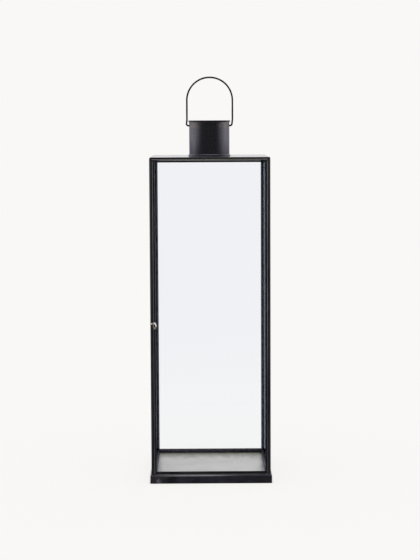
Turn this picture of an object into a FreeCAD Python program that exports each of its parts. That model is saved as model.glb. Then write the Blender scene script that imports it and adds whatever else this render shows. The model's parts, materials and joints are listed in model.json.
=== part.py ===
import FreeCAD, Part
import math
import os

from FreeCAD import Placement, Rotation, Vector

# Hurricane candle lantern: a tall glazed box on a sheet-steel base, with a hinged door,
# a flat roof, an open chimney and a wire bail.
# Millimetres. Origin at the middle of the base's underside, +Z up, door towards -Y.

# Base
base_width = 180.0
base_sheet = 0.9
base_face_height = 11.0
base_corner_radius = 1.0
shoulder_rise = 2.05
shoulder_run = 1.8
deck_ledge = 8.2
base_hem = 6.0
floor_sheet = 0.6
floor_lap = 3.5

# Glazed box
panel_height = 465.85
came_sheet = 0.7
came_leg = 4.2
came_bend_radius = 1.2
bead_leg = 2.7
glass_thickness = 2.0
glass_face_play = 0.1
glass_edge_play = 0.5

# Door and its pivots
door_leg = 3.7
door_top_leg = 2.7
door_side_gap = 0.5
door_foot_gap = 0.4
door_head_gap = 0.15
door_swing_gap = 0.25
header_height = 2.3
header_edge_radius = 1.1
pivot_inset = 2.2
pivot_pin_diameter = 1.6
pivot_flange_diameter = 3.0
pivot_clearance = 0.05
thrust_clearance = 0.05
lower_pin_tail = 1.2
upper_pin_cover = 0.3

# Latch
latch_height = 238.0
latch_inset = 2.2
latch_lift_degrees = 30.0
hook_sheet = 0.8
hook_face_play = 0.08
hook_eye_radius = 1.8
finger_hole_radius = 1.2
finger_ring_radius = 2.7
finger_ring_drop = 3.0
pull_tab_radius = 1.5
pull_tab_drop = 7.2
hook_arm_radius = 1.1
rivet_diameter = 1.4
rivet_head_diameter = 2.8
stud_diameter = 1.1
stud_head_diameter = 2.1
latch_head_height = 0.6
latch_clearance = 0.06

# Roof
roof_sheet = 0.8
roof_edge_height = 2.3
roof_edge_radius = 2.0
roof_corner_radius = 3.0
roof_hem = 8.2
roof_hem_sheet = 0.7

# Chimney
chimney_diameter = 60.5
chimney_sheet = 0.8
chimney_height = 53.2
rim_bead_diameter = 2.4
rim_bead_shift = 0.2
collar_wall = 1.1
collar_height = 4.0
collar_edge_radius = 0.8
collar_clearance = 0.05

# Bail
bail_wire_diameter = 2.5
bail_rim_gap = 1.25
bail_reach = 73.3
bail_pivot_drop = 7.9
bail_bend_radius = 3.0
bail_tail = 3.4
bail_clearance = 0.08

# Levels and places that follow from the sizes above
body_width = base_width - 2 * shoulder_run
came_thickness = glass_thickness + 2 * glass_face_play + 2 * came_sheet
deck_top = base_face_height + shoulder_rise
panel_top = deck_top + panel_height
roof_top = panel_top + roof_edge_height
header_bottom = panel_top - header_height
box_inside = body_width - 2 * came_thickness
front_plane = -body_width / 2
panel_middle = body_width / 2 - came_thickness / 2

door_width = box_inside - 2 * door_side_gap
door_bottom = deck_top + door_foot_gap
door_top = header_bottom - door_head_gap
pivot_x = door_width / 2 - pivot_inset
pivot_y = -panel_middle
pivot_radius = pivot_pin_diameter / 2
pivot_hole_radius = pivot_radius + pivot_clearance

# The side panes lie behind their posts, clear of the round the hinge stile's edge turns through
hinge_edge_reach = came_bend_radius + math.hypot(pivot_inset - came_bend_radius,
                                                 came_thickness / 2 - came_bend_radius)
bead_inset = came_thickness / 2 + hinge_edge_reach + door_swing_gap
bead_depth = glass_thickness + 2 * glass_face_play + came_sheet
post_depth = bead_inset + bead_leg

rivet_x = -door_width / 2 + latch_inset
stud_x = -panel_middle

chimney_radius = chimney_diameter / 2
chimney_bore_radius = chimney_radius - chimney_sheet
chimney_top = roof_top + chimney_height
rim_radius = chimney_radius + rim_bead_shift + rim_bead_diameter / 2
bail_wire_radius = bail_wire_diameter / 2
bail_width = 2 * (rim_radius + bail_rim_gap + bail_wire_diameter)
bail_pivot_z = chimney_top - bail_pivot_drop

# How far a cutter reaches past what it cuts, and how near two levels count as one
CUT_SPARE = 1.0
SAME_LEVEL = 1e-6

X_AXIS = Vector(1, 0, 0)
Y_AXIS = Vector(0, 1, 0)
Z_AXIS = Vector(0, 0, 1)


def save(name, shape):
    """Write one sub-part, whose file name is its name."""
    shape.exportStep("parts/" + name + ".step")


def slab(width, depth, bottom, top):
    """A plain block centred on the Z axis."""
    return Part.makeBox(width, depth, top - bottom, Vector(-width / 2, -depth / 2, bottom))


def closed_face(edges):
    """A flat face inside a closed run of edges."""
    return Part.Face(Part.Wire(edges))


def polygon_face(points):
    """A flat face with straight sides."""
    return Part.Face(Part.makePolygon(points + points[:1]))


def line(start, end):
    return Part.LineSegment(start, end).toShape()


def arc(start, middle, end):
    return Part.Arc(start, middle, end).toShape()


def level_edges(shape):
    """The edges that lie flat."""
    return [edge for edge in shape.Edges if edge.BoundBox.ZLength < SAME_LEVEL]


def edges_at_level(shape, level):
    """The edges that lie flat at one height."""
    return [edge for edge in level_edges(shape) if abs(edge.BoundBox.ZMin - level) < SAME_LEVEL]


def rounded_square(width, radius, level):
    """The outline of a square with round corners, centred on the Z axis."""
    half = width / 2
    inner = half - radius
    slant = radius * math.sqrt(0.5)
    edges = []
    for quarter in range(4):
        turn = Rotation(Z_AXIS, 90 * quarter)
        side_start = turn.multVec(Vector(-inner, -half, level))
        side_end = turn.multVec(Vector(inner, -half, level))
        corner_middle = turn.multVec(Vector(inner + slant, -inner - slant, level))
        corner_end = turn.multVec(Vector(half, -inner, level))
        edges.append(line(side_start, side_end))
        edges.append(arc(side_end, corner_middle, corner_end))
    return Part.Wire(edges)


def square_prism(width, radius, bottom, top):
    """An upright block with a round-cornered square outline."""
    return Part.Face(rounded_square(width, radius, bottom)).extrude(Vector(0, 0, top - bottom))


def square_taper(low_width, high_width, radius, bottom, top):
    """A block that narrows upwards from one round-cornered square to another."""
    low = rounded_square(low_width, radius, bottom)
    high = rounded_square(high_width, radius, top)
    return Part.makeLoft([low, high], True, True)


# Base

def plinth(width, top_width, radius, bottom, face_top, top):
    """The plinth's outline as a solid: upright faces below and a sloping shoulder above."""
    foot = square_prism(width, radius, bottom, face_top)
    shoulder = square_taper(width, top_width, radius, face_top, top)
    return foot.fuse(shoulder).removeSplitter()


def make_base_tray():
    """A folded plinth: shoulder, deck ledge under the panels and a hem to stand on."""
    outside = plinth(base_width, body_width, base_corner_radius, 0, base_face_height, deck_top)
    hollow = plinth(base_width - 2 * base_sheet, body_width - 2 * base_sheet, base_corner_radius,
                    base_sheet, base_face_height - base_sheet, deck_top - base_sheet)
    deck_opening = square_prism(body_width - 2 * deck_ledge, base_corner_radius,
                                base_face_height, deck_top + CUT_SPARE)
    foot_opening = square_prism(base_width - 2 * base_hem, base_corner_radius, -CUT_SPARE, base_face_height)
    tray = outside.cut(hollow).cut(deck_opening).cut(foot_opening)
    pivot_hole = Part.makeCylinder(pivot_hole_radius, base_sheet + 2 * CUT_SPARE,
                                   Vector(pivot_x, pivot_y, deck_top - base_sheet - CUT_SPARE))
    return tray.cut(pivot_hole)


def make_floor_plate():
    """A bare sheet soldered under the deck's ledge."""
    width = body_width - 2 * deck_ledge + 2 * floor_lap
    ledge_underside = deck_top - base_sheet
    return slab(width, width, ledge_underside - floor_sheet, ledge_underside)


# Glazed panels

def folded_section(corner, inward, across, leg, hollow_end):
    """A folded strip's section: a web with bent corners, two legs and the hollow between them."""
    half = came_thickness / 2
    wall = half - came_sheet
    bend = came_bend_radius
    slack = bend * (1 - math.sqrt(0.5))

    def at(depth, side):
        return corner + inward * depth + across * side

    outline = closed_face([
        line(at(leg, -half), at(bend, -half)),
        arc(at(bend, -half), at(slack, slack - half), at(0, bend - half)),
        line(at(0, bend - half), at(0, half - bend)),
        arc(at(0, half - bend), at(slack, half - slack), at(bend, half)),
        line(at(bend, half), at(leg, half)),
        line(at(leg, half), at(leg, -half)),
    ])
    hollow = polygon_face([at(came_sheet, -wall), at(hollow_end, -wall),
                           at(hollow_end, wall), at(came_sheet, wall)])
    return outline.cut(hollow).Faces[0]


def channel_section(corner, inward, across, leg):
    """The U section of a came, whose legs hold the glass."""
    return folded_section(corner, inward, across, leg, leg + CUT_SPARE)


def box_section(corner, inward, across, leg):
    """The closed section of a post or a rail of the sides."""
    return folded_section(corner, inward, across, leg, leg - came_sheet)


def bead_section(corner, inward, across, leg):
    """The L section of a glazing bead: a foot on the post's inner face and a lip over the pane."""
    lip = bead_depth - came_sheet

    def at(depth, side):
        return corner + inward * depth + across * side

    return polygon_face([at(0, 0), at(0, bead_depth), at(leg, bead_depth),
                         at(leg, lip), at(came_sheet, lip), at(came_sheet, 0)])


def mitred_frame(section, across, width, height, legs):
    """Four strips of one section, mitred at their corners: bottom, +X side, top and -X side."""
    bottom_leg, side_leg, top_leg = legs
    half = width / 2
    outer = [Vector(-half, 0, 0), Vector(half, 0, 0), Vector(half, 0, height), Vector(-half, 0, height)]
    inner = [
        Vector(side_leg - half, 0, bottom_leg),
        Vector(half - side_leg, 0, bottom_leg),
        Vector(half - side_leg, 0, height - top_leg),
        Vector(side_leg - half, 0, height - top_leg),
    ]
    strip_legs = [bottom_leg, side_leg, top_leg, side_leg]
    cut_depth = 2 * (came_thickness + bead_depth)
    strips = []
    for side in range(4):
        following = (side + 1) % 4
        run = outer[following] - outer[side]
        along = Vector(run).normalize()
        inward = Vector(-along.z, 0, along.x)
        strip = section(outer[side], inward, across, strip_legs[side]).extrude(run)
        mitred = polygon_face([outer[side], outer[following], inner[following], inner[side]])
        mitred.translate(Vector(0, -cut_depth / 2, 0))
        strips.append(strip.common(mitred.extrude(Vector(0, cut_depth, 0))).Solids[0])
    return strips


def panel_glass(width, height):
    """The pane, standing on the web below it."""
    edge = came_sheet + glass_edge_play
    return slab(width - 2 * edge, glass_thickness, came_sheet, height - edge)


def save_placed(names, pieces, place):
    """Set the pieces of one panel in their place and write them."""
    for name, piece in zip(names, pieces):
        piece.Placement = place.multiply(piece.Placement)
        save(name, piece)


def save_side_panels():
    """The two fixed sides, each a frame of posts and rails with a pane held behind it by beads."""
    bead_width = body_width - 2 * bead_inset
    for name, side in (("left", -1), ("right", 1)):
        place = Placement(Vector(side * panel_middle, 0, deck_top), Rotation(Z_AXIS, 90))
        inside = Y_AXIS * side
        posts = mitred_frame(box_section, inside, body_width, panel_height, (came_leg, post_depth, came_leg))
        beads = mitred_frame(bead_section, inside, bead_width, panel_height, (came_leg, bead_leg, came_leg))
        for bead in beads:
            bead.translate(inside * (came_thickness / 2))
        pane = panel_glass(bead_width, panel_height)
        pane.translate(inside * (came_thickness / 2 + glass_face_play + glass_thickness / 2))
        kinds = ["bottom_rail", "rear_stile", "top_rail", "front_stile",
                 "bottom_bead", "rear_bead", "top_bead", "front_bead", "glass"]
        save_placed([name + "_" + kind for kind in kinds], posts + beads + [pane], place)


def save_leaf(names, width, height, legs, place):
    """A pane in four mitred cames, set in its place."""
    cames = mitred_frame(channel_section, Y_AXIS, width, height, legs)
    save_placed(names, cames + [panel_glass(width, height)], place)


def save_rear_panel():
    """The fixed back, between the sides."""
    place = Placement(Vector(0, panel_middle, deck_top), Rotation())
    names = ["rear_bottom_rail", "rear_right_stile", "rear_top_rail", "rear_left_stile", "rear_glass"]
    save_leaf(names, box_inside, panel_height, (came_leg, came_leg, came_leg), place)


def save_door():
    """The door, between the sides and under the header, with its hinge stile at +X."""
    place = Placement(Vector(0, -panel_middle, door_bottom), Rotation())
    names = ["door_bottom_rail", "door_hinge_stile", "door_top_rail", "door_latch_stile", "door_glass"]
    save_leaf(names, door_width, door_top - door_bottom, (door_leg, door_leg, door_top_leg), place)


# Door pivots

def make_front_header():
    """The bar that ties the front posts and holds the upper pivot pin."""
    bar = Part.makeBox(box_inside, came_thickness, header_height,
                       Vector(-box_inside / 2, front_plane, header_bottom))
    front_edges = [edge for edge in level_edges(bar) if abs(edge.BoundBox.YMax - front_plane) < SAME_LEVEL]
    bar = bar.makeFillet(header_edge_radius, front_edges)
    pivot_hole = Part.makeCylinder(pivot_hole_radius, header_height + 2 * CUT_SPARE,
                                   Vector(pivot_x, pivot_y, header_bottom - CUT_SPARE))
    return bar.cut(pivot_hole)


def pivot_pin(start, direction, flange_height, length):
    """A flanged pin soldered to a rail: the flange keeps the door off its neighbour."""
    centre = Vector(pivot_x, pivot_y, start)
    flange = Part.makeCylinder(pivot_flange_diameter / 2, flange_height, centre, direction)
    shank = Part.makeCylinder(pivot_radius, length, centre, direction)
    return flange.fuse(shank).removeSplitter()


def make_lower_pivot_pin():
    return pivot_pin(door_bottom, -Z_AXIS, door_foot_gap - thrust_clearance,
                     door_foot_gap + base_sheet + lower_pin_tail)


def make_upper_pivot_pin():
    return pivot_pin(door_top, Z_AXIS, door_head_gap - thrust_clearance,
                     door_head_gap + header_height - upper_pin_cover)


# Latch

def disc(centre, radius, back, front):
    """A short round bar across the lantern's front."""
    return Part.makeCylinder(radius, back - front, Vector(centre.x, front, centre.z), Y_AXIS)


def tapered_link(first, first_radius, second, second_radius, back, front):
    """A flat link round two discs, with straight sides that touch both."""
    span = second - first
    heading = math.atan2(span.z, span.x)
    lean = math.acos((first_radius - second_radius) / span.Length)

    def rim(centre, radius, angle):
        return Vector(centre.x + radius * math.cos(angle), front, centre.z + radius * math.sin(angle))

    left = heading + lean
    right = heading - lean
    outline = closed_face([
        line(rim(first, first_radius, right), rim(second, second_radius, right)),
        arc(rim(second, second_radius, right), rim(second, second_radius, heading),
            rim(second, second_radius, left)),
        line(rim(second, second_radius, left), rim(first, first_radius, left)),
        arc(rim(first, first_radius, left), rim(first, first_radius, heading + math.pi),
            rim(first, first_radius, right)),
    ])
    return outline.extrude(Vector(0, back - front, 0))


def headed_pin(centre, shank_diameter, head_diameter):
    """A pin that stands on the front plane, with a domed head in front of the hook."""
    head_back = front_plane - hook_sheet - 2 * hook_face_play
    shank = disc(centre, shank_diameter / 2, front_plane, head_back)
    head_radius = head_diameter / 2
    dome_radius = (head_radius ** 2 + latch_head_height ** 2) / (2 * latch_head_height)
    dome_middle = head_back + dome_radius - latch_head_height
    ball = Part.makeSphere(dome_radius, Vector(centre.x, dome_middle, centre.z))
    head = ball.common(disc(centre, head_radius, head_back, head_back - latch_head_height - CUT_SPARE))
    return shank.fuse(head).removeSplitter()


def make_latch_rivet():
    return headed_pin(Vector(rivet_x, 0, latch_height), rivet_diameter, rivet_head_diameter)


def make_keeper_stud():
    return headed_pin(Vector(stud_x, 0, latch_height), stud_diameter, stud_head_diameter)


def make_latch_hook():
    """A flat hook: an eye on the rivet, an arm over the stud, a finger ring and a pull tab."""
    back = front_plane - hook_face_play
    front = back - hook_sheet
    eye = Vector(rivet_x, 0, latch_height)
    stud = Vector(stud_x, 0, latch_height)
    ring = Vector(rivet_x, 0, latch_height - finger_ring_drop)
    tab = Vector(rivet_x, 0, latch_height - pull_tab_drop)
    stud_slot_radius = stud_diameter / 2 + latch_clearance

    arm = tapered_link(eye, hook_eye_radius, stud, hook_arm_radius, back, front)
    upper = tapered_link(eye, hook_eye_radius, ring, finger_ring_radius, back, front)
    lower = tapered_link(ring, finger_ring_radius, tab, pull_tab_radius, back, front)
    hook = arm.fuse(upper).fuse(lower).removeSplitter()

    rivet_hole = disc(eye, rivet_diameter / 2 + latch_clearance, back + CUT_SPARE, front - CUT_SPARE)
    finger_hole = disc(ring, finger_hole_radius, back + CUT_SPARE, front - CUT_SPARE)
    slot_end = disc(stud, stud_slot_radius, back + CUT_SPARE, front - CUT_SPARE)
    lift_drift = (rivet_x - stud_x) * (1 - math.cos(math.radians(latch_lift_degrees)))
    slot_width = 2 * stud_slot_radius + lift_drift
    slot_length = hook_arm_radius + CUT_SPARE
    slot_corner = Vector(stud_x - stud_slot_radius, front - CUT_SPARE, latch_height - slot_length)
    slot_mouth = Part.makeBox(slot_width, hook_sheet + 2 * CUT_SPARE, slot_length, slot_corner)
    return hook.cut(rivet_hole).cut(finger_hole).cut(slot_end).cut(slot_mouth)


# Roof, chimney and bail

def make_roof_tray():
    """A flat sheet with a rounded edge, hemmed inwards over the panels, with a vent hole."""
    blank = square_prism(body_width, roof_corner_radius, panel_top, roof_top)
    shell = blank.makeFillet(roof_edge_radius, edges_at_level(blank, roof_top))
    hollow = square_prism(body_width - 2 * roof_edge_radius, roof_corner_radius,
                          panel_top + roof_hem_sheet, roof_top - roof_sheet)
    hem_opening = square_prism(body_width - 2 * roof_hem, roof_corner_radius,
                               panel_top - CUT_SPARE, roof_top - roof_sheet)
    vent = Part.makeCylinder(chimney_bore_radius, roof_sheet + 2 * CUT_SPARE,
                             Vector(0, 0, roof_top - roof_sheet - CUT_SPARE))
    return shell.cut(hollow).cut(hem_opening).cut(vent)


def make_chimney_tube():
    """An open tube with its rim rolled outwards and two holes for the bail."""
    bead_radius = rim_bead_diameter / 2
    bead_level = chimney_top - bead_radius
    outside = Part.makeCylinder(chimney_radius, bead_level - roof_top, Vector(0, 0, roof_top))
    bore = Part.makeCylinder(chimney_bore_radius, chimney_height + CUT_SPARE,
                             Vector(0, 0, roof_top - CUT_SPARE))
    rim = Part.makeTorus(chimney_radius + rim_bead_shift, bead_radius, Vector(0, 0, bead_level), Z_AXIS)
    tube = outside.cut(bore).fuse(rim).removeSplitter()
    bail_holes = Part.makeCylinder(bail_wire_radius + bail_clearance, 2 * chimney_diameter,
                                   Vector(-chimney_diameter, 0, bail_pivot_z), X_AXIS)
    return tube.cut(bail_holes)


def make_chimney_collar():
    """The bead round the chimney's foot."""
    outer_radius = chimney_radius + collar_wall
    ring = Part.makeCylinder(outer_radius, collar_height, Vector(0, 0, roof_top))
    ring = ring.makeFillet(collar_edge_radius, edges_at_level(ring, roof_top + collar_height))
    bore = Part.makeCylinder(chimney_radius + collar_clearance, collar_height + 2 * CUT_SPARE,
                             Vector(0, 0, roof_top - CUT_SPARE))
    return ring.cut(bore)


def make_bail_handle():
    """A round wire: two legs under an arch, with their feet bent inwards through the chimney."""
    arch_radius = bail_width / 2 - bail_wire_radius
    arch_level = bail_pivot_z + bail_reach - bail_wire_radius - arch_radius
    foot_end = chimney_bore_radius - bail_tail
    bend_x = arch_radius - bail_bend_radius
    bend_level = bail_pivot_z + bail_bend_radius
    slant = bail_bend_radius * math.sqrt(0.5)

    def at(side, across, level):
        return Vector(side * across, 0, level)

    path = Part.Wire([
        line(at(-1, foot_end, bail_pivot_z), at(-1, bend_x, bail_pivot_z)),
        arc(at(-1, bend_x, bail_pivot_z), at(-1, bend_x + slant, bend_level - slant),
            at(-1, arch_radius, bend_level)),
        line(at(-1, arch_radius, bend_level), at(-1, arch_radius, arch_level)),
        arc(at(-1, arch_radius, arch_level), at(0, 0, arch_level + arch_radius),
            at(1, arch_radius, arch_level)),
        line(at(1, arch_radius, arch_level), at(1, arch_radius, bend_level)),
        arc(at(1, arch_radius, bend_level), at(1, bend_x + slant, bend_level - slant),
            at(1, bend_x, bail_pivot_z)),
        line(at(1, bend_x, bail_pivot_z), at(1, foot_end, bail_pivot_z)),
    ])
    section = Part.Wire(Part.makeCircle(bail_wire_radius, at(-1, foot_end, bail_pivot_z), X_AXIS))
    return path.makePipeShell([section], True, False)


os.makedirs("parts", exist_ok=True)
save("base_tray", make_base_tray())
save("floor_plate", make_floor_plate())
save_side_panels()
save_rear_panel()
save_door()
save("front_header", make_front_header())
save("lower_pivot_pin", make_lower_pivot_pin())
save("upper_pivot_pin", make_upper_pivot_pin())
save("latch_rivet", make_latch_rivet())
save("keeper_stud", make_keeper_stud())
save("latch_hook", make_latch_hook())
save("roof_tray", make_roof_tray())
save("chimney_tube", make_chimney_tube())
save("chimney_collar", make_chimney_collar())
save("bail_handle", make_bail_handle())
print("overall height", round(bail_pivot_z + bail_reach, 2), "mm")
print("door pivot", round(pivot_x, 3), round(pivot_y, 3))
print("latch pivot", round(rivet_x, 3), latch_height)
print("bail pivot height", round(bail_pivot_z, 3))
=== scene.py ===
import json
import math

import bmesh
import bpy
from mathutils import Matrix, Vector


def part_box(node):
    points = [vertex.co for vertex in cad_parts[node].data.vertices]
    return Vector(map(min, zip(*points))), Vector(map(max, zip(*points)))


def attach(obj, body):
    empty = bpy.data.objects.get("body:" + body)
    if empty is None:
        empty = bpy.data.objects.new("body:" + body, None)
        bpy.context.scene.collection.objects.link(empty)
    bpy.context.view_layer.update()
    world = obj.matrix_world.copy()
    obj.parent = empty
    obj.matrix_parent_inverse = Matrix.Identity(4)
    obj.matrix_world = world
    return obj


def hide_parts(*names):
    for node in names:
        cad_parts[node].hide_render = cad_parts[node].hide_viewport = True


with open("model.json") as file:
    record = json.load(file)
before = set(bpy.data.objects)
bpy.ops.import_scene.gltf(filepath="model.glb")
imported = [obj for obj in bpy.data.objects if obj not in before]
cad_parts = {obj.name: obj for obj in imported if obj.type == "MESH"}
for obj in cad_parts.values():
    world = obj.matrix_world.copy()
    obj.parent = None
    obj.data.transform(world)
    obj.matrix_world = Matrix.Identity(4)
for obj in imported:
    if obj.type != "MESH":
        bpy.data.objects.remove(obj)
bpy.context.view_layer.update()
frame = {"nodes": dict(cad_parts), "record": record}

# Hurricane candle lantern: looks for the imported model. Metres, +Z up, door towards -Y.

MM = 0.001
nodes = frame["nodes"]

# Camera, fitted to the photograph
CAMERA_PLACE = Vector((-0.01349, -2.53301, 0.53503))
CAMERA_TURN = 0.00535
CAMERA_PITCH = 0.09504
CAMERA_ROLL = -0.0047
CAMERA_LENS = 107.94
CAMERA_SENSOR = 36.0

# Studio
PALE = (0.947, 0.939, 0.922, 1.0)
BRIGHT = (0.920, 0.922, 0.930, 1.0)
DIM = (0.045, 0.052, 0.080, 1.0)
AMBIENT = (0.80, 0.80, 0.80, 1.0)
FLOOR_SIZE = 60.0
FLOOR_DROP = 0.1 * MM
SHADOW_NEAR = 0.22
SHADOW_FAR = 0.60
SHADOW_SHARE = 0.12
OVERHEAD_SHADE = 0.6
STUDIO_FADE = (-0.85, 0.40)
CONTACT_NEAR = 0.0905
CONTACT_FAR = 0.0945
CONTACT_SHARE = 0.45
KEY_PLACE = (0, -0.15, 2.0)
KEY_AIM = (0, -0.149, 0)
KEY_SIZE = 1.2
KEY_POWER = 8.0

# Patterns in the finishes. Sizes are lengths along the axes. A pair such as SCUFF_MARKS, here and
# below, gives the value at which an effect begins and the one at which it is full.
MOTTLE_SIZES = (0.020, 0.020, 0.020)
CLOUD_SIZES = (0.030, 0.030, 0.030)
PATCH_SIZES = (0.012, 0.012, 0.012)
SCUFF_SIZES = (0.004, 0.004, 0.004)
GRAIN_SIZES = (0.0006, 0.0006, 0.0006)
ALONG_POST = (0.0018, 0.0018, 0.090)
ALONG_RAIL = (0.090, 0.0018, 0.0018)
ALONG_DEPTH = (0.0018, 0.090, 0.0018)
ALONG_REAR = (0.020, 0.0018, 0.020)
SCUFF_MARKS = (0.30, 0.70)
EDGE_RADIUS = 0.9 * MM
EDGE_TURN = (0.02, 0.16)
OXIDE_BUMP = 0.05 * MM

# Blackened steel
OXIDE_INDEX = 2.0
OXIDE_TINT = (0.87, 0.84, 1.0, 1.0)
SATIN_INDEX = 1.5
WAXED_INDEX = 1.12
SOOT_BLACK = (0.0088, 0.0083, 0.0100, 1.0)
VIOLET_BLACK = (0.0140, 0.0128, 0.0190, 1.0)
BROWN_BLACK = (0.0290, 0.0240, 0.0205, 1.0)
# Rubbed bare steel on worn edges, also used as a painted highlight; the next two colours only paint
# highlights
WEAR_AND_HIGHLIGHT_STEEL = (0.1350, 0.1240, 0.1160, 1.0)
HIGHLIGHT_STEEL = (0.2400, 0.2280, 0.2200, 1.0)
HINGE_HIGHLIGHT_STEEL = (0.5200, 0.5100, 0.5000, 1.0)
# Painted sheen: blue grey on the rear uprights and rails, standing in for reflections seen on them through
# the glass
SHEEN_GREY = (0.1680, 0.1690, 0.1960, 1.0)
# Dust on the roof's top, partly a painted reflection that lightens it
ROOF_DUST_AND_SHEEN = (0.1000, 0.1000, 0.1060, 1.0)
# Painted shade for the roof's folded edge
EDGE_SHADE_BLACK = (0.0040, 0.0038, 0.0045, 1.0)
# Painted highlight bands, on rounded corners and on the header's face: from, to, fade and, where a fourth
# value follows, strength
HEADER_HIGHLIGHT = (0.47765, 0.47900, 0.0003, 1.0)
POST_HIGHLIGHT = (0.0855, 0.0890, 0.0004, 0.22)
STILE_HIGHLIGHT = (0.0832, 0.0842, 0.0002, 1.25)
HINGE_HIGHLIGHT = (0.0835, 0.0843, 0.0001, 1.25)
# Painted highlight bands are lighter higher up, as if lit from above, and streaked
HIGHLIGHT_RISE = (0.15, 0.42)
HIGHLIGHT_STREAKS = (0.36, 0.64)
VIOLET_PATCHES = (0.40, 0.65)
BROWN_STREAKS = (0.46, 0.68)
# Painted sheen: its patches, and how far a face must turn towards -Y to take it
SHEEN_MARKS = (0.20, 0.80)
SHEEN_TURN = (0.30, 0.80)
ROOF_TURN = (0.80, 0.97)
ROOF_PATCHES = (0.10, 0.60)
ROOF_BUMP = 0.01 * MM

# Plinth
PLINTH_VIOLET = (0.0262, 0.0243, 0.0345, 1.0)
# Painted highlight colour along the shoulder, also that of the rubbed edges and the knock
PLINTH_HIGHLIGHT_AND_WEAR = (0.340, 0.340, 0.346, 1.0)
FOLD_HIGHLIGHT = (0.0112, 0.0119, 0.0002)
SHOULDER_HIGHLIGHT = (0.0112, 0.0130, 0.0002)
KNOCK_PLACE = (-0.0775, 0.0030)
KNOCK_SIZE = 0.007
KNOCK_MARKS = (0.25, 0.60)
PLINTH_STREAK_SIZES = (0.060, 0.060, 0.012)
PLINTH_PATCHES = (0.30, 0.60)
PLINTH_STREAKS = (0.55, 0.75)
SHOULDER_HIGHLIGHT_SHARE = 0.17
KNOCK_SHARE = 0.4
PLINTH_EDGE_SHARE = 0.1
HIGHLIGHT_MIDDLE = -0.022
HIGHLIGHT_FADE = (0.010, 0.070)

# Chimney
# Oxide colours; the lighter one, higher up, is a painted sheen
FOOT_OXIDE = (0.088, 0.085, 0.106, 1.0)
HEAD_SHEEN = (0.178, 0.172, 0.192, 1.0)
LIMB_TINT = (0.55, 0.54, 0.60, 1.0)
RIM_BLACK = (0.012, 0.012, 0.016, 1.0)
RIM_FOOT = (0.5314, 0.5322)
FRONT_FACING_TONE = (0.150, 0.138, 0.127, 1.0)
BROWN_OXIDE = (0.260, 0.215, 0.185, 1.0)
SHEEN_FADE = (0.490, 0.530)
BROWN_BAND = (0.5240, 0.5310, 0.003)
BROWN_CLEAR = (0.0001, 0.0003)
BROWN_MARKS = (0.42, 0.62)
FRONT_TURN = (0.86, 0.96)
TUBE_CLOUD_SIZES = (0.014, 0.014, 0.030)
TUBE_STREAK_SIZES = (0.0035, 0.0035, 0.040)
TUBE_SCUFF_SIZES = (0.006, 0.006, 0.004)
TUBE_STREAKS = (0.52, 0.75)
TUBE_BUMP = 0.10 * MM

# Galvanised sheet
ZINC_PALE = (0.618, 0.606, 0.578, 1.0)
ZINC_DULL = (0.477, 0.467, 0.447, 1.0)
ZINC_STAIN = (0.200, 0.200, 0.130, 1.0)
# Painted shade at the floor plate's right end
ZINC_RIGHT_SHADE = (0.090, 0.080, 0.085, 1.0)
ZINC_CLOUD_SIZES = (0.045, 0.045, 0.045)
ZINC_STREAK_SIZES = (0.090, 0.0035, 1.0)
ZINC_BLOT_SIZES = (0.012, 0.030, 1.0)
ZINC_PATCHES = (0.35, 0.65)
STAIN_RISE = (0.050, 0.112)
RIGHT_SHADE_RISE = (0.083, 0.095)

# Bright steel
BARE_STEEL = (0.720, 0.705, 0.680, 1.0)
TARNISH = (0.230, 0.180, 0.140, 1.0)
# Painted highlight on the latch hook's upper right
HOOK_HIGHLIGHT_STEEL = (0.970, 0.965, 0.950, 1.0)
SCRATCH_SIZES = (0.0003, 0.0012, 0.0040)
TARNISH_MARKS = (0.45, 0.70)
HOOK_HIGHLIGHT_RISE = 1.5 * MM
SCRATCH_BUMP = 0.03 * MM

# Glass
# Glass tints: the blue one, rising up the panes, is painted shade, darker and bluer higher up
CLEAR_TINT = (0.9920, 0.9960, 1.0, 1.0)
BLUE_TINT = (0.9810, 0.9858, 0.9985, 1.0)
BLUE_RISE = (0.03, 0.24)
FACING_INDEX = 1.10
SIDE_INDEX = 1.50
FACING_GLOSS = (0.95, 0.95, 0.96, 1.0)
SIDE_GLOSS = (0.145, 0.160, 0.190, 1.0)

# Bail wire
BAIL_FOOT_END = 26.05 * MM
BAIL_BEND = 3.0 * MM
BEND_STEPS = 6
LEG_STEPS = 6
ARCH_STEPS = 48
FOOT_FLATTENING = (1, 1.25, 0.62)
WIRE_SIDES = 16
WIRE_WAVE = 0.25 * MM
WIRE_WAVE_SIZE = 12 * MM
WIRE_WAVE_RUN = 20 * MM
BAIL_LEAN = 0.7 * MM

# Latch hook
HOOK_EDGE = 0.14 * MM
HOOK_CROWN = 0.62 * MM
HOOK_ARM_END = -84.6 * MM
HOOK_HOLE_REACH = 1.3 * MM
HOOK_HOLE_STRETCH = (1.08, 1, 1.42)
HOOK_HOLE_LIFT = 0.3 * MM
HOOK_TAB_TOP = 232.5 * MM
HOOK_TAB_BEND = math.radians(24)
HOOK_HOLE_PLACE = (-81.9 * MM, 235.0 * MM)
# Painted shadow on the latch stile round the hook's hole
HOOK_SHADOW_BLACK = (0.0015, 0.0015, 0.0018, 1.0)
HOOK_SHADOW_RADIUS = 2.2 * MM

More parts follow.
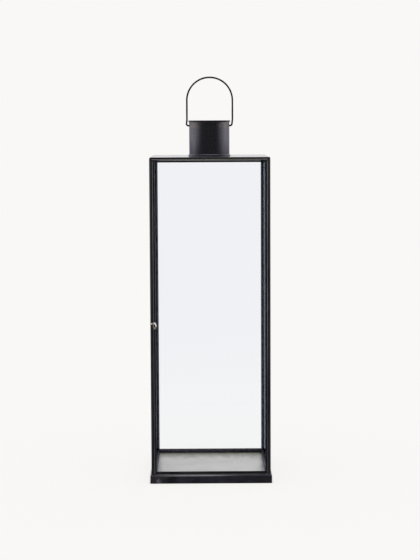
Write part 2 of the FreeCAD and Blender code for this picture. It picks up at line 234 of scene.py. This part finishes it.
# Solder
DROP_PLACES = ((0.0360, 0.0095), (0.0425, 0.0095), (0.0610, 0.0260))
DROP_RADIUS = 2.0 * MM
DROP_HEIGHT = 0.5 * MM
DROP_SHRINK = 0.15
DROP_SIDES = 20
DROP_STEPS = 5
DROP_CAP_STEP = 0.6
DROP_WAVE = 0.3 * MM
DROP_WAVE_SIZE = 2 * MM
COLLAR_BEAD = 0.45 * MM
BEAD_SIDES = 12
BEAD_FLATTENING = (1.3, 1, 0.8)
BEAD_WAVE = 0.35 * MM
BEAD_WAVE_SIZE = 4 * MM
TIN_PALE = (0.950, 0.950, 0.935, 1.0)
TIN_SKIN_SIZES = (0.0012, 0.0012, 0.0012)
TIN_PATCHES = (0.20, 0.55)
TIN_BUMP = 0.02 * MM

# Chimney collar
COLLAR_WALL = 1.1 * MM
COLLAR_HEIGHT = 2.8 * MM
COLLAR_SLOPE = 0.8 * MM
RING_STEPS = 120

# Modelling
MERGE_DISTANCE = 0.001 * MM
TOUCH = 0.01 * MM


# Shader maths

class Shade:
    """A shader value that takes part in plain arithmetic."""

    def __init__(self, finish, socket):
        self.finish = finish
        self.socket = socket

    def combine(self, operation, first, second):
        return self.finish.node("Math", {"operation": operation}, {0: first, 1: second})

    def __add__(self, other):
        return self.combine("ADD", self, other)

    def __radd__(self, other):
        return self.combine("ADD", other, self)

    def __sub__(self, other):
        return self.combine("SUBTRACT", self, other)

    def __rsub__(self, other):
        return self.combine("SUBTRACT", other, self)

    def __mul__(self, other):
        return self.combine("MULTIPLY", self, other)

    def __rmul__(self, other):
        return self.combine("MULTIPLY", other, self)

    def __truediv__(self, other):
        return self.combine("DIVIDE", self, other)

    def __rtruediv__(self, other):
        return self.combine("DIVIDE", other, self)

    def at_least(self, other):
        return self.combine("MAXIMUM", self, other)

    def at_most(self, other):
        return self.combine("MINIMUM", self, other)

    def size(self):
        return self.combine("MAXIMUM", self, 0 - self)


class Finish:
    """The node tree of one material or of the world, wired by expressions."""

    def __init__(self, tree):
        self.tree = tree
        self.tree.nodes.clear()

    def node(self, kind, settings=None, sockets=None, output=0):
        """Add a node, set it up, feed its sockets and give back one of its outputs."""
        node = self.tree.nodes.new("ShaderNode" + kind)
        for name, value in (settings or {}).items():
            setattr(node, name, value)
        for name, value in (sockets or {}).items():
            socket = self.find(node.inputs, name)
            if isinstance(value, Shade):
                self.tree.links.new(value.socket, socket)
            else:
                socket.default_value = value
        return Shade(self, self.find(node.outputs, output)) if node.outputs else None

    @staticmethod
    def find(sockets, name):
        if isinstance(name, int):
            return sockets[name]
        for socket in sockets:
            if socket.identifier == name:
                return socket
        return sockets[name]

    def position(self):
        return self.node("TexCoord", output="Object")

    def parts(self, vector):
        return [self.node("SeparateXYZ", sockets={0: vector}, output=axis) for axis in range(3)]

    def noise(self, vector, sizes, detail=3.0, roughness=0.5):
        """Soft random values, with features of the given sizes along the axes."""
        measured = self.node("VectorMath", {"operation": "DIVIDE"}, {0: vector, 1: sizes})
        return self.node("TexNoise", sockets={"Vector": measured, "Scale": 1.0, "Detail": detail,
                                              "Roughness": roughness})

    def rise(self, value, low, high):
        """0 below the low value, 1 above the high one, smooth between."""
        return self.node("MapRange", {"interpolation_type": "SMOOTHSTEP"},
                         {"Value": value, "From Min": low, "From Max": high})

    def band(self, value, low, high, fade):
        """1 between two values, fading to 0 outside them."""
        return self.rise(value, low - fade, low) * (1 - self.rise(value, high, high + fade))

    def mix(self, factor, first, second):
        return self.node("Mix", {"data_type": "RGBA"},
                         {"Factor_Float": factor, "A_Color": first, "B_Color": second}, "Result_Color")

    def bump(self, height, distance):
        return self.node("Bump", sockets={"Height": height, "Distance": distance})

    def normals(self):
        return self.parts(self.node("TexCoord", output="Normal"))

    def edges(self, radius):
        """1 on edges sharper than the radius, 0 on flat and gently curved faces."""
        rounded = self.node("Bevel", {"samples": 4}, {"Radius": radius})
        flat = self.node("NewGeometry", output="Normal")
        agreement = self.node("VectorMath", {"operation": "DOT_PRODUCT"}, {0: rounded, 1: flat}, "Value")
        return self.rise(1 - agreement, *EDGE_TURN)

    def shader(self, sockets):
        return self.node("BsdfPrincipled", sockets=sockets)

    def show(self, shader):
        self.node("OutputMaterial", sockets={"Surface": shader})

    def principled(self, sockets):
        self.show(self.shader(sockets))


def new_finish(name):
    material = bpy.data.materials.new(name)
    material.use_nodes = True
    return material, Finish(material.node_tree)


# Finishes

def blackened_steel(name, streak_sizes, dullness=0.24, index=OXIDE_INDEX, worn=0.5, corner_highlight=None,
                    band=None, lit_and_worn=WEAR_AND_HIGHLIGHT_STEEL, painted_sheen=0.0, hook_shadow=False):
    """Black oxide with a brown and violet patina, rubbed on its edges; it can also carry painted highlight
    bands, a painted sheen on faces turned to -Y and a painted shadow round the latch hook's hole.
    """
    material, finish = new_finish(name)
    place = finish.position()
    across, _, height = finish.parts(place)
    mottle = finish.noise(place, MOTTLE_SIZES, detail=4.0)
    streak = finish.noise(place, streak_sizes, detail=3.0)
    grain = finish.noise(place, GRAIN_SIZES, detail=2.0)
    scuff = finish.noise(place, SCUFF_SIZES, detail=4.0)
    tone = finish.mix(finish.rise(mottle, *VIOLET_PATCHES), SOOT_BLACK, VIOLET_BLACK)
    brown = finish.rise(streak, *BROWN_STREAKS)
    # Painted highlight: a band by the rounded outer corner, lighter higher up, with brown only inside it
    if corner_highlight:
        low, high, fade, share = corner_highlight
        outer = finish.band(across.size(), low, high, fade)
        lit_from_above = 0.35 + 0.65 * finish.rise(height, *HIGHLIGHT_RISE)
        wear_and_highlight = outer * lit_from_above * (0.4 + 0.8 * finish.rise(streak, *HIGHLIGHT_STREAKS)) * share
        brown = brown * outer
    else:
        wear_and_highlight = finish.edges(EDGE_RADIUS) * finish.rise(scuff, *SCUFF_MARKS) * worn
    tone = finish.mix(brown, tone, BROWN_BLACK)
    # Painted sheen: faces turned towards -Y lightened to blue grey in patches
    if painted_sheen:
        inward = finish.rise(0 - finish.normals()[1], *SHEEN_TURN)
        tone = finish.mix(finish.rise(scuff, *SHEEN_MARKS) * inward * painted_sheen, tone, SHEEN_GREY)
    # Painted highlight: a light band across a range of heights, used on the header's face
    if band:
        low, high, fade, share = band
        wear_and_highlight = wear_and_highlight.at_least(finish.band(height, low, high, fade) * (0.5 + streak) * share)
    polish = dullness + mottle * 0.10 + streak * 0.08 + wear_and_highlight * 0.08
    # Painted shadow: a black, glossy spot on the stile round the hook's hole, with no rubbed band there
    if hook_shadow:
        away = (across - HOOK_HOLE_PLACE[0]).size().at_least((height - HOOK_HOLE_PLACE[1]).size())
        shadow_spot = 1 - finish.rise(away, 0.8 * HOOK_SHADOW_RADIUS, HOOK_SHADOW_RADIUS)
        tone = finish.mix(shadow_spot, tone, HOOK_SHADOW_BLACK)
        wear_and_highlight = wear_and_highlight * (1 - shadow_spot)
        polish = polish * (1 - 0.8 * shadow_spot)
    finish.principled({
        "Base Color": finish.mix(wear_and_highlight, tone, lit_and_worn),
        "Metallic": wear_and_highlight * 0.3,
        "Roughness": polish,
        "IOR": index,
        "Specular Tint": OXIDE_TINT,
        "Normal": finish.bump(grain * 0.3 + streak * 0.7, OXIDE_BUMP),
    })
    return material


def roof_steel():
    """Polished on top, so that it mirrors the room behind it; round the folded edge a painted shade, a
    near-black, dull copy of the steel.
    """
    material, finish = new_finish("blackened_steel_roof")
    place = finish.position()
    mottle = finish.noise(place, MOTTLE_SIZES, detail=4.0)
    cloud = finish.noise(place, CLOUD_SIZES, detail=3.0)
    grain = finish.noise(place, GRAIN_SIZES, detail=2.0)
    level = finish.rise(finish.normals()[2], *ROOF_TURN)
    normal = finish.bump(grain * 0.3 + cloud * 0.7, ROOF_BUMP)
    # Dust and a painted reflection lighten the top in patches
    polished = finish.shader({
        "Base Color": finish.mix(finish.rise(mottle, *ROOF_PATCHES), VIOLET_BLACK, ROOF_DUST_AND_SHEEN),
        "Roughness": 0.03 + mottle * 0.10 + cloud * 0.08,
        "IOR": OXIDE_INDEX,
        "Specular Tint": OXIDE_TINT,
        "Normal": normal,
    })
    # Painted shade: faces that don't look up get a near-black, dull copy of the roof steel
    shaded_edge = finish.shader({
        "Base Color": finish.mix(cloud, EDGE_SHADE_BLACK, SOOT_BLACK),
        "Roughness": 0.40 + mottle * 0.15,
        "IOR": WAXED_INDEX,
        "Normal": normal,
    })
    finish.show(finish.node("MixShader", sockets={0: level, 1: shaded_edge, 2: polished}))
    return material


def plinth_steel():
    """Waxed violet black, with a painted highlight along the fold under the shoulder, most at mid-width,
    and rubbed edges and a knock.
    """
    material, finish = new_finish("blackened_steel_plinth")
    place = finish.position()
    across, depth, height = finish.parts(place)
    mottle = finish.noise(place, MOTTLE_SIZES, detail=4.0)
    streak = finish.noise(place, PLINTH_STREAK_SIZES, detail=3.0)
    scuff = finish.noise(place, SCUFF_SIZES, detail=4.0)
    tone = finish.mix(finish.rise(mottle, *PLINTH_PATCHES), SOOT_BLACK, PLINTH_VIOLET)
    tone = finish.mix(finish.rise(streak, *PLINTH_STREAKS), tone, BROWN_BLACK)
    along = (across - HIGHLIGHT_MIDDLE).size().at_most(depth.size())
    middle = 1 - finish.rise(along, *HIGHLIGHT_FADE)
    # Painted highlight: along the fold, fainter on the shoulder, brightest at mid-width
    highlight_and_wear = finish.band(height, *FOLD_HIGHLIGHT).at_least(finish.band(height, *SHOULDER_HIGHLIGHT) * SHOULDER_HIGHLIGHT_SHARE)
    highlight_and_wear = highlight_and_wear * middle * (0.7 + 0.5 * scuff)
    edge = finish.edges(EDGE_RADIUS) * finish.rise(scuff, *SCUFF_MARKS)
    highlight_and_wear = highlight_and_wear.at_least(edge * PLINTH_EDGE_SHARE)
    aside = (across - KNOCK_PLACE[0]).size() + (height - KNOCK_PLACE[1]).size()
    knock = (1 - finish.rise(aside, 0.2 * KNOCK_SIZE, KNOCK_SIZE)) * finish.rise(scuff, *KNOCK_MARKS)
    highlight_and_wear = highlight_and_wear.at_least(knock * KNOCK_SHARE)
    finish.principled({
        "Base Color": finish.mix(highlight_and_wear, tone, PLINTH_HIGHLIGHT_AND_WEAR),
        "Metallic": highlight_and_wear * 0.2,
        "Roughness": 0.30 + mottle * 0.10 + streak * 0.08,
        "IOR": SATIN_INDEX,
        "Specular Tint": OXIDE_TINT,
        "Normal": finish.bump(mottle * 0.3 + streak * 0.7, OXIDE_BUMP),
    })
    return material


def chimney_steel():
    """Dark metal under a thin oxide, brown where heat and the bail reach it; darker at the rim, lighter
    and browner on the side facing -Y, and with a painted sheen towards the head.
    """
    material, finish = new_finish("blackened_steel_chimney")
    place = finish.position()
    across, _, height = finish.parts(place)
    cloud = finish.noise(place, TUBE_CLOUD_SIZES, detail=4.0)
    streak = finish.noise(place, TUBE_STREAK_SIZES, detail=3.0)
    scuff = finish.noise(place, TUBE_SCUFF_SIZES, detail=4.0)
    # Painted sheen: the oxide reflects less at the foot and more towards the head
    tone = finish.mix(finish.rise(height + cloud * 0.03, *SHEEN_FADE), FOOT_OXIDE, HEAD_SHEEN)
    tone = finish.mix(finish.rise(streak, *TUBE_STREAKS) * 0.6, tone, FOOT_OXIDE)
    # The side facing -Y gets a lighter, browner tone than the rest
    front = finish.rise(0 - finish.normals()[1], *FRONT_TURN)
    tone = finish.mix(front, tone, FRONT_FACING_TONE)
    brown = finish.band(height, *BROWN_BAND) * finish.rise(scuff, *BROWN_MARKS)
    brown = brown * finish.rise(across * across, *BROWN_CLEAR)
    tone = finish.mix(brown * 0.7, tone, BROWN_OXIDE)
    # The rim is darker and duller than the tube
    rim = finish.rise(height, *RIM_FOOT)
    finish.principled({
        "Base Color": finish.mix(rim, tone, RIM_BLACK),
        "Metallic": (0.96 - brown * 0.25) * (1 - rim * 0.9),
        "Roughness": 0.20 + cloud * 0.14 + brown * 0.10 + rim * 0.10,
        "Specular Tint": LIMB_TINT,
        "Normal": finish.bump(streak * 0.6 + cloud * 0.4, TUBE_BUMP),
    })
    return material


def galvanised_steel():
    """Dull zinc: streaks along the sheet, stains towards the back, and a painted shade at the right end.
    """
    material, finish = new_finish("galvanised_steel")
    place = finish.position()
    across, depth, _ = finish.parts(place)
    cloud = finish.noise(place, ZINC_CLOUD_SIZES, detail=3.0)
    streak = finish.noise(place, ZINC_STREAK_SIZES, detail=4.0)
    blot = finish.noise(place, ZINC_BLOT_SIZES, detail=4.0)
    tone = finish.mix(finish.rise(cloud * 0.4 + streak * 0.6, *ZINC_PATCHES), ZINC_DULL, ZINC_PALE)
    stain = finish.rise(depth + blot * 0.06, *STAIN_RISE)
    tone = finish.mix(stain * 0.8, tone, ZINC_STAIN)
    # Painted shade: the sheet darkens towards its right end
    right_shade = finish.rise(across + blot * 0.016, *RIGHT_SHADE_RISE)
    tone = finish.mix(right_shade * 0.9, tone, ZINC_RIGHT_SHADE)
    finish.principled({
        "Base Color": tone,
        "Metallic": 0.75,
        "Roughness": 0.26 + streak * 0.14 + stain * 0.10,
        "Normal": finish.bump(streak, OXIDE_BUMP),
    })
    return material


def bright_steel(name, highlighted=False):
    """Bare steel, scratched and a little tarnished; on the latch hook, a painted highlight lightens it up
    and to the right.
    """
    material, finish = new_finish(name)
    place = finish.position()
    scratch = finish.noise(place, SCRATCH_SIZES, detail=3.0)
    stain = finish.noise(place, SCUFF_SIZES, detail=4.0)
    tone = finish.mix(finish.rise(stain, *TARNISH_MARKS), BARE_STEEL, TARNISH)
    # Painted highlight: from tarnish to near white, towards the hook's upper right
    if highlighted:
        across, _, height = finish.parts(place)
        slant = (across - HOOK_HOLE_PLACE[0]) * 0.8 + (height - HOOK_HOLE_PLACE[1]) * 0.5
        lit_and_worn = finish.rise(slant, 0, HOOK_HIGHLIGHT_RISE)
        tone = finish.mix(lit_and_worn, TARNISH, HOOK_HIGHLIGHT_STEEL)
    finish.principled({
        "Base Color": tone,
        "Metallic": 0.0 if highlighted else 0.2,
        "Roughness": 0.34 + scratch * 0.08,
        "Normal": finish.bump(scratch, SCRATCH_BUMP),
    })
    return material


def solder():
    """Dull tin, a little paler than the zinc round it."""
    material, finish = new_finish("solder")
    place = finish.position()
    skin = finish.noise(place, TIN_SKIN_SIZES, detail=3.0)
    finish.principled({
        "Base Color": finish.mix(finish.rise(skin, *TIN_PATCHES), ZINC_PALE, TIN_PALE),
        "Metallic": 0.0,
        "Roughness": 0.45 + skin * 0.12,
        "Normal": finish.bump(skin, TIN_BUMP),
    })
    return material


def clear_glass(name, index, gloss_tint):
    """A thin pane: clear, with a blue cast away from its foot, and a mirror at a flat angle."""
    material, finish = new_finish(name)
    height = finish.parts(finish.position())[2]
    bounce = finish.node("Fresnel", sockets={"IOR": index})
    inside = finish.node("NewGeometry", output="Backfacing")
    clear = finish.node("BsdfTransparent", sockets={"Color": CLEAR_TINT})
    blue = finish.node("BsdfTransparent", sockets={"Color": BLUE_TINT})
    # Painted shade: higher up the pane passes less light, with a blue cast
    body = finish.node("MixShader", sockets={0: finish.rise(height, *BLUE_RISE), 1: clear, 2: blue})
    gloss = finish.node("BsdfGlossy", sockets={"Color": gloss_tint, "Roughness": 0.02})
    mirror = 2 * bounce / (1 + bounce) * (1 - inside)
    finish.show(finish.node("MixShader", sockets={0: mirror, 1: body, 2: gloss}))
    return material


# Modelling helpers

def select_points(piece, test):
    """Select the points of a piece in edit mode that pass a test on their place."""
    mesh = bmesh.from_edit_mesh(piece.data)
    for part in list(mesh.faces) + list(mesh.edges) + list(mesh.verts):
        part.select = False
    for point in mesh.verts:
        point.select = test(point.co)
    mesh.select_flush_mode()
    bmesh.update_edit_mesh(piece.data)


def begin(name):
    """Name the new primitive, set its place into its mesh and open it in edit mode."""
    piece = bpy.context.object
    piece.name = name
    bpy.ops.object.transform_apply(location=True, rotation=True, scale=True)
    bpy.ops.object.mode_set(mode="EDIT")
    bpy.ops.mesh.select_all(action="SELECT")
    return piece


def close(piece, material, body, smooth_angle=40):
    """Merge doubles, turn the faces outwards, and leave edit mode with the piece finished."""
    bpy.ops.mesh.select_all(action="SELECT")
    bpy.ops.mesh.remove_doubles(threshold=MERGE_DISTANCE)
    bpy.ops.mesh.normals_make_consistent(inside=False)
    bpy.ops.object.mode_set(mode="OBJECT")
    bpy.ops.object.shade_smooth_by_angle(angle=math.radians(smooth_angle))
    piece.data.materials.clear()
    piece.data.materials.append(material)
    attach(piece, body)


def apply_waves(piece, name, size, strength, group=""):
    """Make a surface a little uneven, as work by hand is."""
    texture = bpy.data.textures.new(name, "CLOUDS")
    texture.noise_scale = size
    waves = piece.modifiers.new(name, "DISPLACE")
    waves.texture = texture
    waves.texture_coords = "LOCAL"
    waves.strength = strength
    waves.mid_level = 0.5
    waves.vertex_group = group
    bpy.ops.object.modifier_apply(modifier=name)


def extrude(move):
    bpy.ops.mesh.extrude_region_move(TRANSFORM_OT_translate={"value": move})


def sweep(steps, angle, centre, axis=(0, -1, 0)):
    """Carry the selection along an arc, clockwise seen from the front unless an axis is given."""
    bpy.ops.mesh.spin(steps=steps, angle=angle, center=centre, axis=axis)


def resize(factors, centre):
    bpy.ops.transform.resize(value=factors, center_override=centre)


# Pieces

def model_bail(material):
    """The wire handle: feet through the chimney, flattened so that they stay in, and an arch."""
    low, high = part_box("bail_handle")
    radius = (high[1] - low[1]) / 2
    arch = high[0] - radius
    pivot = low[2] + radius
    arch_level = high[2] - radius - arch
    bend_level = pivot + BAIL_BEND
    foot = arch - BAIL_BEND - BAIL_FOOT_END
    leg = (arch_level - bend_level) / LEG_STEPS

    bpy.ops.object.select_all(action="DESELECT")
    bpy.ops.mesh.primitive_circle_add(vertices=WIRE_SIDES, radius=radius,
                                      location=(-BAIL_FOOT_END, 0, pivot), rotation=(0, math.pi / 2, 0))
    piece = begin("bail_wire")
    extrude((-foot, 0, 0))
    sweep(BEND_STEPS, math.pi / 2, (BAIL_BEND - arch, 0, bend_level))
    for _ in range(LEG_STEPS):
        extrude((0, 0, leg))
    sweep(ARCH_STEPS, math.pi, (0, 0, arch_level))
    for _ in range(LEG_STEPS):
        extrude((0, 0, -leg))
    sweep(BEND_STEPS, math.pi / 2, (arch - BAIL_BEND, 0, bend_level))
    extrude((-foot, 0, 0))
    select_points(piece, lambda place: place.z > bend_level + leg / 2)
    bpy.ops.transform.translate(value=(BAIL_LEAN, 0, 0))
    for side in (-1, 1):
        end = side * BAIL_FOOT_END
        select_points(piece, lambda place: abs(place.x - end) < TOUCH and place.z < bend_level)
        resize(FOOT_FLATTENING, (end, 0, pivot))
    bpy.ops.mesh.select_all(action="SELECT")
    bpy.ops.mesh.fill_holes(sides=0)
    close(piece, material, "bail")
    free = piece.vertex_groups.new(name="free")
    for point in piece.data.vertices:
        share = (point.co.z - bend_level) / WIRE_WAVE_RUN
        free.add([point.index], min(1.0, max(0.0, share)), "REPLACE")
    apply_waves(piece, "wire_waves", WIRE_WAVE_SIZE, WIRE_WAVE, "free")
    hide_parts("bail_handle")


def model_hook(material):
    """The latch hook with its edges rounded and its pull tab bent towards the hand."""
    mesh = nodes["latch_hook"].data.copy()
    piece = bpy.data.objects.new("latch_hook_bent", mesh)
    bpy.context.scene.collection.objects.link(piece)
    bpy.ops.object.select_all(action="DESELECT")
    piece.select_set(True)
    bpy.context.view_layer.objects.active = piece
    bpy.ops.object.mode_set(mode="EDIT")
    bpy.ops.mesh.select_all(action="SELECT")
    bpy.ops.mesh.remove_doubles(threshold=MERGE_DISTANCE)
    bpy.ops.mesh.dissolve_limited(angle_limit=math.radians(1))
    low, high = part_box("latch_hook")
    select_points(piece, lambda place: math.dist((place.x, place.z), HOOK_HOLE_PLACE) < HOOK_HOLE_REACH)
    resize(HOOK_HOLE_STRETCH, (HOOK_HOLE_PLACE[0], 0, HOOK_HOLE_PLACE[1] + HOOK_HOLE_LIFT))
    crown = low[1] + TOUCH
    select_points(piece, lambda place: place.y < crown and place.x > HOOK_ARM_END)
    bpy.ops.mesh.region_to_loop()
    bpy.ops.mesh.bevel(offset=HOOK_CROWN, segments=4, affect="EDGES", clamp_overlap=True)
    bpy.ops.mesh.select_all(action="DESELECT")
    bpy.ops.mesh.edges_select_sharp(sharpness=math.radians(50))
    bpy.ops.mesh.bevel(offset=HOOK_EDGE, segments=2, affect="EDGES", clamp_overlap=True)
    select_points(piece, lambda place: place.z < HOOK_TAB_TOP)
    fold = (0, high[1], HOOK_TAB_TOP)
    bpy.ops.transform.rotate(value=HOOK_TAB_BEND, orient_axis="X", center_override=fold)
    close(piece, material, "latch", 35)
    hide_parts("latch_hook")


def model_solder_drops(material):
    """Drops of solder that fell on the floor plate."""
    floor_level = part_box("floor_plate")[1][2]
    for number, (across, depth) in enumerate(DROP_PLACES):
        radius = DROP_RADIUS * (1 - DROP_SHRINK * number)
        bpy.ops.object.select_all(action="DESELECT")
        bpy.ops.mesh.primitive_circle_add(vertices=DROP_SIDES, radius=radius, fill_type="NGON",
                                          location=(across, depth, floor_level))
        piece = begin(f"solder_drop_{number + 1}")
        level = 0.0
        width = 1.0
        for step in range(1, DROP_STEPS + 1):
            next_level = math.sin(step / DROP_STEPS * math.pi / 2)
            next_width = math.cos(step / (DROP_STEPS + DROP_CAP_STEP) * math.pi / 2)
            extrude((0, 0, DROP_HEIGHT * (next_level - level)))
            resize((next_width / width, next_width / width, 1), (across, depth, floor_level))
            level = next_level
            width = next_width
        close(piece, material, "frame")
        apply_waves(piece, f"drop_waves_{number + 1}", DROP_WAVE_SIZE, DROP_WAVE)


def model_collar(material):
    """The collar round the chimney's foot: a low ring with a sloping top."""
    low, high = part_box("chimney_collar")
    middle = high[0] - COLLAR_WALL / 2
    half_way = low[2] + COLLAR_HEIGHT / 2
    bpy.ops.object.select_all(action="DESELECT")
    bpy.ops.mesh.primitive_plane_add(size=1, location=(middle, 0, half_way), rotation=(math.pi / 2, 0, 0))
    piece = begin("collar_ring")
    resize((COLLAR_WALL, 1, COLLAR_HEIGHT), (middle, 0, half_way))
    select_points(piece, lambda place: place.x > middle and place.z > half_way)
    bpy.ops.mesh.bevel(offset=COLLAR_SLOPE, segments=1, affect="VERTICES")
    bpy.ops.mesh.select_all(action="SELECT")
    sweep(RING_STEPS, 2 * math.pi, (0, 0, low[2]), axis=(0, 0, 1))
    close(piece, material, "frame")
    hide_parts("chimney_collar")


def model_collar_bead(material):
    """The bead of solder round the collar's foot."""
    low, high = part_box("chimney_collar")
    bpy.ops.object.select_all(action="DESELECT")
    bpy.ops.mesh.primitive_circle_add(vertices=BEAD_SIDES, radius=COLLAR_BEAD,
                                      location=(high[0], 0, low[2]), rotation=(math.pi / 2, 0, 0))
    piece = begin("collar_solder")
    resize(BEAD_FLATTENING, (high[0], 0, low[2]))
    sweep(RING_STEPS, 2 * math.pi, (0, 0, low[2]), axis=(0, 0, 1))
    close(piece, material, "frame")
    apply_waves(piece, "collar_waves", BEAD_WAVE_SIZE, BEAD_WAVE)


# Camera, surroundings, lamp and floor

def set_camera():
    data = bpy.data.cameras.new("camera")
    data.lens = CAMERA_LENS
    data.sensor_width = CAMERA_SENSOR
    camera = bpy.data.objects.new("camera", data)
    bpy.context.scene.collection.objects.link(camera)
    turn = Matrix.Rotation(-CAMERA_TURN, 4, "Z")
    pitch = Matrix.Rotation(math.pi / 2 - CAMERA_PITCH, 4, "X")
    roll = Matrix.Rotation(CAMERA_ROLL, 4, "Z")
    camera.matrix_world = Matrix.Translation(CAMERA_PLACE) @ turn @ pitch @ roll
    bpy.context.scene.camera = camera


def studio_tone(finish, depth, height):
    """Pale behind and beside the lantern, dim on the camera's side and overhead."""
    lifted = depth - OVERHEAD_SHADE * height
    return finish.mix(finish.rise(lifted, *STUDIO_FADE), DIM, BRIGHT)


def set_world():
    world = bpy.data.worlds.new("studio")
    bpy.context.scene.world = world
    world.use_nodes = True
    finish = Finish(world.node_tree)
    _, depth, height = finish.parts(finish.node("TexCoord", output="Generated"))
    seen = finish.node("LightPath", output="Is Camera Ray")
    through = finish.node("LightPath", output="Is Transmission Ray")
    glossy = finish.node("LightPath", output="Is Glossy Ray")
    tone = finish.mix(glossy, AMBIENT, studio_tone(finish, depth, height.at_least(0)))
    tone = finish.mix(seen.at_least(through), tone, PALE)
    finish.node("OutputWorld", sockets={"Surface": finish.node("Background", sockets={"Color": tone})})


def add_key_lamp():
    bpy.ops.object.light_add(type="AREA", location=KEY_PLACE)
    lamp = bpy.context.object
    lamp.name = "key_lamp"
    lamp.rotation_euler = (Vector(KEY_AIM) - Vector(KEY_PLACE)).to_track_quat("-Z", "Y").to_euler()
    lamp.visible_camera = False
    lamp.data.shape = "RECTANGLE"
    lamp.data.size = KEY_SIZE
    lamp.data.size_y = KEY_SIZE
    lamp.data.energy = KEY_POWER


def set_floor():
    bpy.ops.object.select_all(action="DESELECT")
    bpy.ops.mesh.primitive_plane_add(size=FLOOR_SIZE, location=(0, 0, -FLOOR_DROP))
    floor = bpy.context.object
    floor.name = "floor"
    material, finish = new_finish("pale_floor")
    place = finish.position()
    reach = finish.node("VectorMath", {"operation": "LENGTH"}, {0: place}, "Value")
    across, depth, _ = finish.parts(place)
    contact = 1 - finish.rise(across.size().at_least(depth.size()), CONTACT_NEAR, CONTACT_FAR)
    depth = depth / reach.at_least(0.01)
    seen = finish.node("LightPath", output="Is Camera Ray")
    through = finish.node("LightPath", output="Is Transmission Ray")
    glossy = finish.node("LightPath", output="Is Glossy Ray")
    tone = finish.mix(glossy, PALE, studio_tone(finish, depth, 0))
    shown = finish.node("Emission", sockets={"Color": tone})
    lit = finish.node("BsdfDiffuse", sockets={"Color": PALE})
    near = 1 - finish.rise(reach, SHADOW_NEAR, SHADOW_FAR)
    shade = (near * SHADOW_SHARE).at_least(contact * CONTACT_SHARE)
    share = seen.at_least(through) * (1 - shade)
    mixed = finish.node("MixShader", sockets={0: share.at_least(glossy), 1: lit, 2: shown})
    finish.show(mixed)
    floor.data.materials.append(material)


# Dressing the CAD nodes

def dress_nodes(zinc, steel, even):
    # Painted light on the frame: highlights on the posts' and stiles' rounded corners and on the header's
    # face, a shadow round the hook's hole on the latch stile, and a sheen on the rear uprights and rails
    post = blackened_steel("blackened_steel_post", ALONG_POST, index=SATIN_INDEX, corner_highlight=POST_HIGHLIGHT)
    hinged = blackened_steel("blackened_steel_hinged", ALONG_POST, index=SATIN_INDEX, corner_highlight=HINGE_HIGHLIGHT,
                             lit_and_worn=HINGE_HIGHLIGHT_STEEL)
    latched = blackened_steel("blackened_steel_latched", ALONG_POST, index=SATIN_INDEX, corner_highlight=STILE_HIGHLIGHT,
                              lit_and_worn=HIGHLIGHT_STEEL, hook_shadow=True)
    shaded = blackened_steel("blackened_steel_shaded", ALONG_POST, worn=0.1, painted_sheen=1.0)
    crosswise = blackened_steel("blackened_steel_crosswise", ALONG_RAIL, index=WAXED_INDEX, worn=0.05)
    lit_header = blackened_steel("blackened_steel_lit_header", ALONG_RAIL, index=WAXED_INDEX, worn=0.0,
                              band=HEADER_HIGHLIGHT, lit_and_worn=HIGHLIGHT_STEEL)
    rear = blackened_steel("blackened_steel_rear", ALONG_REAR, worn=0.1, painted_sheen=0.75)
    fore_and_aft = blackened_steel("blackened_steel_fore_and_aft", ALONG_DEPTH, worn=0.1)
    roof = roof_steel()
    plinth = plinth_steel()
    turned = chimney_steel()
    facing = clear_glass("clear_glass_facing", FACING_INDEX, FACING_GLOSS)
    side = clear_glass("clear_glass_side", SIDE_INDEX, SIDE_GLOSS)
    for part in frame["record"]["subparts"]:
        name = part["node"]
        slot = part["material_slot"]
        if name in ("left_glass", "right_glass"):
            material = side
        elif slot == "clear_glass":
            material = facing
        elif slot == "galvanised_steel":
            material = zinc
        elif slot == "bright_steel":
            material = steel
        elif name.startswith("chimney"):
            material = turned
        elif name == "door_latch_stile":
            material = latched
        elif name.endswith(("rear_stile", "rear_bead")) or name in ("rear_left_stile", "rear_right_stile"):
            material = shaded
        elif name.startswith("rear_"):
            material = rear
        elif name == "door_hinge_stile":
            material = hinged
        elif name.endswith(("front_stile", "front_bead")):
            material = post
        elif name.startswith(("left_", "right_")):
            material = fore_and_aft
        elif name == "front_header":
            material = lit_header
        elif name == "roof_tray":
            material = roof
        elif name == "base_tray":
            material = plinth
        elif name.endswith("rail"):
            material = crosswise
        else:
            material = even
        mesh = nodes[name].data
        mesh.materials.clear()
        mesh.materials.append(material)


bpy.context.scene.view_settings.view_transform = "Standard"
set_camera()
set_world()
set_floor()
add_key_lamp()

zinc = galvanised_steel()
steel = bright_steel("bright_steel")
highlighted = bright_steel("bright_steel_hook", highlighted=True)
even = blackened_steel("blackened_steel_even", PATCH_SIZES)
waxed = blackened_steel("blackened_steel_wire", SCUFF_SIZES, dullness=0.40, index=WAXED_INDEX, worn=0.0)
dress_nodes(zinc, steel, even)
model_bail(waxed)
model_hook(highlighted)
model_solder_drops(solder())
model_collar(blackened_steel("blackened_steel_collar", PATCH_SIZES, worn=0.15))
model_collar_bead(waxed)
